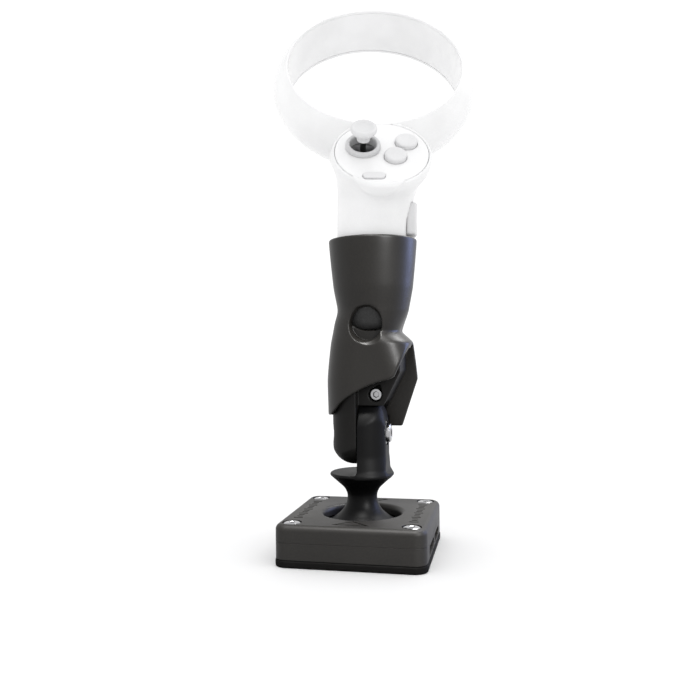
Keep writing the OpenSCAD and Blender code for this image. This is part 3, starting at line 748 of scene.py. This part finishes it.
LEVELS = [(50, -15.1, 15.5, 15.5, 15.7, 4, 1.2), (56.5, -15.1, 17, 17, 15.7, 4, 1.2),
          (79, -15.6, 30, 24.3, 15.7, 15.6, 1.2), (86, -15.0, 29, 23.6, 15.7, 15.6, 1.3),
          (96.2, -13.8, 25.5, 22.4, 15.7, 15.6, 1.5), (101, -12.7, 18.2, 18.0, 15.8, 15.6, 9),
          (104.6, -12.1, 19.9, 19.5, 15.9, 15.6, 12), (108, -11.1, 21.2, 21.2, 16.0, 15.6, 14.5)]
ROUND = [(110.5, 16.2), (113, 16.7), (116, 17.3), (121, 18.25), (132, 19.35), (140, 20.05), (143.2, 20.2),
         (150, 20.2)]
CUP_X = 6
LEVELS += [(z, CUP_X - r, CUP_X + r, CUP_X + r, r, r, r) for z, r in ROUND]
# The radius of the bowl at each height, and what the hood's near edge, the space under its roof and its
# far edge cut away, each an outline in X and Z.
INNER = [(90, 13.6), (106.2, 13.4), (109, 13.7), (112, 14.1), (116, 15.0), (121, 15.9), (132, 17.0),
         (142, 17.8), (150, 18.2)]
LIP = [(34, 116.4), (24.1, 96.2), (17.6, 81.1), (16.4, 80.3), (14.5, 79.6), (9.7, 78.4), (6, 77),
       (2.5, 75.3), (-1, 73.4), (-4.3, 71.3), (-7.3, 68.8), (-9.8, 65.9), (-12, 63.6), (-14.5, 62.9),
       (-24, 62.4), (-24, 40), (50, 40), (50, 116)]
ROOF = [(19.4, 90), (19.4, 96.9), (21.4, 96.9), (23.6, 95.2), (40, 95.2), (40, 90)]
FAR_EDGE = [(-24, 64), (-17, 62.8), (-2, 60), (10.7, 56.5), (40, 56.4), (40, 40), (-24, 40)]
RIM_Z, FLOOR_Z = 143.2, 100.7
ROOM = POST_R + 0.1  # half width of the space in the hood
NUT_R = 3.2


def cup_field(p):
    """One wall from the hood's edges to the cup's rim, with the round port in front."""
    x, y, z = p.T
    sharp = [along(z, [(r[0], r[i]) for r in LEVELS], 0.55) for i in (2, 3)]
    left, half, near_r, far_r = [along(z, [(r[0], r[i]) for r in LEVELS], 1.6) for i in (1, 4, 5, 6)]
    side = np.clip((y / half + 1) / 2, 0, 1)
    right = sharp[0] + (sharp[1] - sharp[0]) * side
    cx = left + half
    plan = length(np.minimum(x - cx, 0), y) - half
    mix = np.clip(0.5 + y / 4, 0, 1)
    r = np.minimum(near_r + (far_r - near_r) * mix, half - 0.02)
    skin = rmax(plan, x - right, r)
    d = rmax(skin, z - RIM_Z, 1.0)
    bowl = rmax(length(x - CUP_X, y) - along(z, INNER, 0.8), FLOOR_Z - z, 8)
    d = smax(d, -bowl, 0.7)
    within = np.where(y < 0, skin + 2.3, -9)
    room = np.where(x > 0, np.abs(y), length(x, y)) - ROOM
    room = rmax(np.maximum(room, within), z - 92.1, 1.2)
    d = smax(d, -room, 0.6)
    attic = np.maximum.reduce([outline(x, z + 1.4 * side, ROOF), within, np.abs(y) - ROOM])
    d = smax(d, -attic, 0.4)
    near = np.maximum(outline(x, z, LIP), y - 2)
    d = smax(d, -near, 1.1)
    far = np.maximum(outline(x, z, FAR_EDGE), -y - 2)
    d = smax(d, -far, 0.9)
    port = length(x - 5, z - 104.2) - 7.1 - np.clip(-y - 13.2, 0, 2.2) * 0.545
    funnel = np.maximum(0.648 * (length(x - 6.3, z - 103.5) - 7.3) + 0.762 * (y + 14.7), y + 13)
    d = smax(d, -np.maximum(np.minimum(port, funnel), y + 9.5), 0.22)
    d = np.maximum(d, -rod(p, 0, (5.2, 0, HINGE), 15.0, 5.5))
    pocket = np.maximum(hexagon(x - SCREW_X, z - SCREW_Z, NUT_R), 13 - y)
    return smax(d, -pocket, 0.25)


cup = solid("cup_hood", cup_field, (-15.9, -20.4, 56.4), (26.4, 20.4, RIM_Z), 0.5)
dress(cup, "shell", "cup", "dark_plastic", "cup_shell")


# ---------- controller ----------

def ring_in(u):
    return 43.85 - 0.95 * u


def ring_out(u):
    return ring_in(u) + 0.8 + 6.25 * (1 - u * u)


RING_HALF = 13.0
FACE_R = 20.95
FACE_IN_CTL = CTL.inverted() @ FACE
RING_IN_CTL = CTL.inverted() @ RING


def seen_from(p, matrix):
    """Points of one frame in another's axes."""
    return (p - np.array(matrix.translation)) @ np.array(matrix.to_3x3())


def body_field(p):
    """The grip, neck and head as one closed form, in the controller's frame."""
    x, y, z = p.T
    cx = along(z, [(150, 0), (168, 2.3), (180, 3.2)], 2.5)
    cy = along(z, [(150, 0), (168, -1.2), (180, -3)], 2.5)
    r = along(z, [(116, 14.6), (121, 15.6), (132, 16.3), (140, 16.4), (151, 16.4), (168, 18.3),
                  (180, 19.4)], 1.8)
    grip = length(x - cx, y - cy) - r
    grip = rmax(grip, z - 182, 8)
    grip = rmax(grip, 116 - z, 0.3)
    q = seen_from(p, FACE_IN_CTL)
    rf = length(q[:, 0], q[:, 1])
    puck = rmax(rf - 22.4, q[:, 2], 1.1)
    puck = rmax(puck, -12 - q[:, 2], 9)
    back = capsule(p, (-10.5, 13, 185), (18.5, 13, 184), 9)
    core = length(x - 3.6, y - 2, z - 178) - 18.2
    head = smin(smin(puck, core, 6), back, 8)
    head = np.maximum(head, q[:, 2])
    d = smin(grip, head, 5)
    disc = length(x - 1.6, z - 171.5) - 12.4
    raised = smax(d - 0.8, np.maximum(disc, y + 6), 0.35)
    return np.minimum(d, raised)


def shell_field(p, side):
    """The hollow half on one side of the seam, with the trigger's well and the grip key's hole."""
    x, y, z = p.T
    d = body_field(p)
    well = np.maximum(block(p, (-5.1, 9.65, 157.7), (21.1, 40, 181.7), 2), d + 0.3)
    d = np.minimum(np.maximum(d, -d - 1.9), well)
    q = seen_from(p, FACE_IN_CTL)
    d = smax(d, -np.maximum(length(q[:, 0], q[:, 1]) - FACE_R - 0.15, -2.2 - q[:, 2]), 0.3)
    g = seen_from(p, RING_IN_CTL)
    u = np.clip(g[:, 2] / RING_HALF, -1, 1)
    hoop = np.maximum(length(g[:, 0], g[:, 1]) - ring_out(u) - 0.05, np.abs(g[:, 2]) - RING_HALF - 0.05)
    d = smax(d, -hoop, 0.3)
    d = smax(d, -block(p, (-3.9, 10.85, 158.9), (19.9, 40, 180.5), 1.5), 0.5)
    d = smax(d, -block(p, (11.7, -7.3, 144.4), (24, 7.3, 159.8), 1.6), 0.4)
    return smax(d, 0.02 - side * y, 0.35)


for name, side, node in (("front_half", -1, "front_shell"), ("rear_half", 1, "rear_shell")):
    low_y, high_y = (-28, 0.2) if side < 0 else (-0.2, 25)
    half = solid(name, lambda p: shell_field(p, side), (-22, low_y, 116), (28, high_y, 200), 0.6, CTL)
    dress(half, "white", "controller", "white_plastic", node)

profile = [(0, 101.4), (4, 101.46), (7, 101.7), (8.8, 102.1), (10.2, 102.75), (11.4, 103.6), (12.3, 104.8),
           (12.9, 106.3), (13.2, 107.8), (13.4, 109.3), (13.75, 112), (14.5, 115.5), (14.45, 115.85),
           (14.2, 115.98), (12.6, 115.98), (12.6, 118), (11, 118), (11, 112), (9.5, 108.5), (0, 107)]
dress(turned("grip_end_cap", profile, 120, CTL), "cap", "controller", "black_plastic", "end_cap")


def face_field(p):
    x, y, z = p.T
    d = rmax(length(x, y) - FACE_R, np.abs(z + 1.075) - 1.075, 0.45)
    d = np.maximum(d, 0.749 * (y - 18.7) - 0.663 * (z + 2.2))
    for (u, v), r in ((STICK_AT, 7.0), (UPPER_AT, 5.1), (LOWER_AT, 5.1)):
        d = smax(d, r - length(x - u, y - v), 0.35)
    u = np.maximum(np.abs(x - MENU_AT[0]) - 2.9, 0)
    return smax(d, 2.1 - length(u, y - MENU_AT[1]), 0.35)


plate = solid("button_face", face_field, (-21, -21, -2.2), (21, 21, 0.02), 0.34, FACE)
dress(plate, "gloss", "controller", "white_gloss", "face_plate")

STICK = FACE @ Matrix.Translation((*STICK_AT, 0))
collar = [(5.9, -2.15), (6.9, -2.15), (6.9, 0.05), (7.8, 0.05), (7.9, 0.3), (7.88, 1.2), (7.75, 1.7),
          (7.45, 2.05), (7.05, 2.2), (6.6, 2.2), (6.25, 2.05), (6.0, 1.75), (5.9, 1.3)]
dress(turned("stick_collar", collar, 96, STICK), "grey", "controller", "soft_grey", "stick_bezel")

PIVOT = STICK @ Matrix.Translation((0, 0, -6))
shaft = [(0, -1.6), (1.7, -1.55), (2.05, -1.2), (2.1, 0), (2.0, 1.2), (1.7, 1.7), (1.3, 2.0), (1.3, 7.9),
         (1.5, 8.5), (2.2, 9.6), (2.6, 10), (2.6, 12.9), (2.3, 13.2), (0, 13.2)]
dress(turned("stick_shaft", shaft, 64, PIVOT), "dark", "thumbstick", "module_plastic", "thumbstick_shaft")

cap = [(2.65, 4.2), (2.9, 4.2), (2.9, 7.2), (3.2, 7.4), (4.3, 7.6), (5.1, 8.0), (5.65, 8.7), (5.9, 9.5),
       (5.85, 10.1), (5.6, 10.55), (5.2, 10.85), (4.7, 10.9), (4.2, 10.7), (3.4, 10.2), (2.2, 9.95),
       (1, 9.87), (0, 9.85), (0, 7.3), (2.65, 7.3)]


def knurl(angle, k):
    """Grip teeth round the widest rings of the cap."""
    depth = {5: 0.03, 6: 0.1, 7: 0.14, 8: 0.14, 9: 0.1, 10: 0.03}.get(k, 0)
    return -depth * (0.5 + 0.5 * np.cos(36 * angle))


dress(turned("stick_cap", cap, 216, STICK, knurl, 40), "pale", "thumbstick", "soft_grey", "thumbstick_cap")

key = [(0, -4.4), (1.4, -4.4), (1.4, -3.2), (5.5, -3.2), (5.5, -2.4), (4.95, -2.4), (4.95, 1.1), (4.9, 1.4),
       (4.72, 1.68), (4.4, 1.86), (4.0, 1.93), (3.5, 1.9), (2.4, 1.74), (1.2, 1.66), (0, 1.64)]
for name, at, body, node in (("upper_key_top", UPPER_AT, "upper_key", "upper_button"),
                             ("lower_key_top", LOWER_AT, "lower_key", "lower_button")):
    dress(turned(name, key, 96, FACE @ Matrix.Translation((*at, 0))), "pale", body, "soft_grey", node)


def menu_field(p):
    x, y, z = p.T
    r = length(np.maximum(np.abs(x) - 2.9, 0), y)
    stem_part = rmax(r - 2, np.maximum(z - 0.7, -2.9 - z), 0.35)
    return np.minimum(stem_part, rmax(r - 2.6, np.abs(z + 2.65) - 0.25, 0.1))


menu = solid("menu_key_top", menu_field, (-5.6, -2.7, -2.9), (5.6, 2.7, 0.7), 0.2,
             FACE @ Matrix.Translation((*MENU_AT, 0)))
dress(menu, "pale", "menu_key", "soft_grey", "menu_button")


def outside(u, e=0.0):
    """A point of the ring's section at u from -1 to 1 across it, e inside its outer face."""
    return ring_out(u) - e, RING_HALF * u


def inside(u, e=0.0):
    """The same at the ring's inner face, e outside it."""
    return ring_in(u) + e, RING_HALF * u


outer = [outside(-1, 0.12), outside(-0.985)] + [outside(u) for u in np.linspace(-1, 1, 33)[1:-1]]
outer += [outside(0.985), outside(1, 0.12), inside(1, 0.12), inside(0.985), inside(0.9), inside(0.9, 1.45)]
outer += [outside(k / 10, 1.6) for k in range(7, -8, -1)]
outer += [inside(-0.9, 1.45), inside(-0.9), inside(-0.985), inside(-1, 0.12)]
inner = [inside(u, e) for u, e in ((-0.89, 0.15), (-0.88, 0.0), (0, 0.0), (0.88, 0.0), (0.89, 0.15),
                                   (0.89, 1.4), (-0.89, 1.4))]
for name, section, node in (("ring_outer_band", outer, "ring_outer_shell"),
                            ("ring_inner_band", inner, "ring_inner_shell")):
    dress(turned(name, section, 220, RING, sharp=25), "gloss", "controller", "white_gloss", node)


def trigger_field(p):
    x, y, z = p.T
    bar = capsule(p, (-0.2, 17, 177.2), (16.2, 17, 177.2), 2.8)
    bulge = capsule(p, (3, 19.3, 166), (13, 19.3, 166), 5.7)
    mid = length(x - 8, y - 21, z - 171) - 7.3
    d = smin(smin(bar, bulge, 4), mid, 4)
    d = smin(d, block(p, (-2.9, 14.2, 165), (18.9, 20.6, 179.9), 2.4), 2)
    d = smax(d, -(length(y - 44, z - 168) - 18.5), 1.5)
    d = smax(d, -block(p, (4.8, 5, 173.4), (11.2, 19.5, 179), 0.6), 0.4)
    return np.maximum(d, 1.55 - length(y - 17, z - 177.2))


trigger = solid("trigger_lever", trigger_field, (-3.2, 12.4, 159.4), (19.2, 29, 180.1), 0.45, CTL)
dress(trigger, "white", "trigger_body", "white_plastic", "trigger")


def grip_key_field(p):
    x, y, z = p.T
    d = rmax(block(p, (14.4, -7, 144.7), (21, 7, 159.5), 1.4), length(x - 2, y) - 18.6, 0.7)
    d = smax(d, -(length(x - 33.4, (z - 152.1) * 0.9) - 13.2), 0.8)
    return smax(d, -block(p, (12, -5.6, 146), (16.6, 5.6, 158.2), 0.3), 0.2)


grip_key = solid("grip_key", grip_key_field, (14.3, -7.1, 144.6), (20.7, 7.1, 159.6), 0.34, CTL)
dress(grip_key, "pale", "grip_body", "white_plastic", "grip_button")


# ---------- CAD parts that stay ----------

KEPT = {"brass": ["corner_inserts"],
        "alloy": ["gimbal_cradle", "gimbal_ring", "gimbal_hub", "haptic_motor"],
        "steel": ["cradle_screws", "hub_screw", "shell_screws", "hinge_washers", "outer_pins", "inner_pins",
                  "stick_rocker", "battery_contacts", "trigger_pin", "trigger_spring"],
        "board": ["circuit_board", "led_strip"],
        "cell": ["battery"],
        "grey": ["stick_module"],
        "dark": ["button_switches"]}
for material, names in KEPT.items():
    for name in names:
        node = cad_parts[name]
        node.data.materials.clear()
        node.data.materials.append(MAT[material])
        node.data.polygons.foreach_set("material_index", [0] * len(node.data.polygons))


# ---------- stage, light and camera ----------

m, t, p = shader("studio_floor")
t.links.new(spread(t, noise(t, 3, 2), 0.3, 0.7, 0.75, 0.85), p.inputs["Roughness"])
t.links.new(blend(t, spread(t, noise(t, 6, 3), 0.3, 0.7, 0, 1), (0.93, 0.93, 0.93), (0.95, 0.95, 0.95)),
            p.inputs["Base Color"])
p.inputs["Specular IOR Level"].default_value = 0.1
ground = mesh_object("studio_floor", [(-6000, -6000, 0), (6000, -6000, 0), (6000, 6000, 0), (-6000, 6000, 0)],
                     [[0, 1, 2, 3]])
ground.data.materials.append(m)

world = bpy.data.worlds.new("studio")
bpy.context.scene.world = world
world.use_nodes = True
tree = world.node_tree
where, split = tree.nodes.new("ShaderNodeTexCoord"), tree.nodes.new("ShaderNodeSeparateXYZ")
tree.links.new(where.outputs["Generated"], split.inputs["Vector"])
dome = blend(tree, spread(tree, split.outputs["Z"], 0.55, 0.9, 0, 1), (1, 1, 1), (0.4, 0.4, 0.41))
tree.links.new(dome, tree.nodes["Background"].inputs["Color"])
tree.nodes["Background"].inputs["Strength"].default_value = 1.12

stand = bpy.data.collections.new("stand_pieces")
for piece in (cup, knuckle, stem, top, low, foot, bolt, screw, corner_heads):
    stand.objects.link(piece)


def soft_light(name, where, size, power, colour=(1, 1, 1), at=(0.004, 0, 0.11)):
    """An area light at a point in metres, facing the object; it picks out the dark stand only."""
    data = bpy.data.lights.new(name, "AREA")
    data.shape = "RECTANGLE"
    data.size, data.size_y, data.energy, data.color = size[0], size[1], power, colour
    lamp = bpy.data.objects.new(name, data)
    lamp.location = where
    lamp.rotation_mode = "QUATERNION"
    lamp.rotation_quaternion = (Vector(where) - Vector(at)).to_track_quat("Z", "Y")
    bpy.context.scene.collection.objects.link(lamp)
    lamp.light_linking.receiver_collection = stand


soft_light("rim_right", (0.7, 0.45, 0.3), (0.3, 0.5), 4.5, (0.42, 0.52, 1.0))
soft_light("front_strip", (0.54, -0.56, 0.42), (0.12, 0.3), 9)
soft_light("shoulder", (0.3, 0.45, 0.85), (0.45, 0.45), 8)
soft_light("overhead", (0.06, -0.3, 1.0), (0.3, 0.3), 22, (1.0, 0.99, 0.97))

sky = bpy.data.objects.new("even_sky", bpy.data.lights.new("even_sky", "SUN"))
sky.data.energy, sky.data.angle = 1.25, math.radians(80)
sky.rotation_euler = (math.radians(6), math.radians(10), 0)
bpy.context.scene.collection.objects.link(sky)

view = bpy.context.scene.view_settings
view.view_transform, view.look, view.exposure, view.gamma = "Standard", "None", 0.0, 1.0

EYE = (0.0662, -0.3382, 0.0949)
YAW, PITCH, ROLL = 0.208, -0.006, -0.010  # radians
ahead = Vector((-math.sin(YAW) * math.cos(PITCH), math.cos(YAW) * math.cos(PITCH), math.sin(PITCH)))
right = Vector((math.cos(YAW), math.sin(YAW), 0))
up = right.cross(ahead)
right, up = right * math.cos(ROLL) + up * math.sin(ROLL), up * math.cos(ROLL) - right * math.sin(ROLL)
camera = bpy.data.objects.new("camera", bpy.data.cameras.new("camera"))
camera.data.lens, camera.data.sensor_width = 38.35, 36.0  # both in mm
camera.data.clip_start, camera.data.clip_end = 0.01, 30.0
camera.matrix_world = Matrix.Translation(EYE) @ Matrix((right, up, -ahead)).transposed().to_4x4()
bpy.context.scene.collection.objects.link(camera)
bpy.context.scene.camera = camera
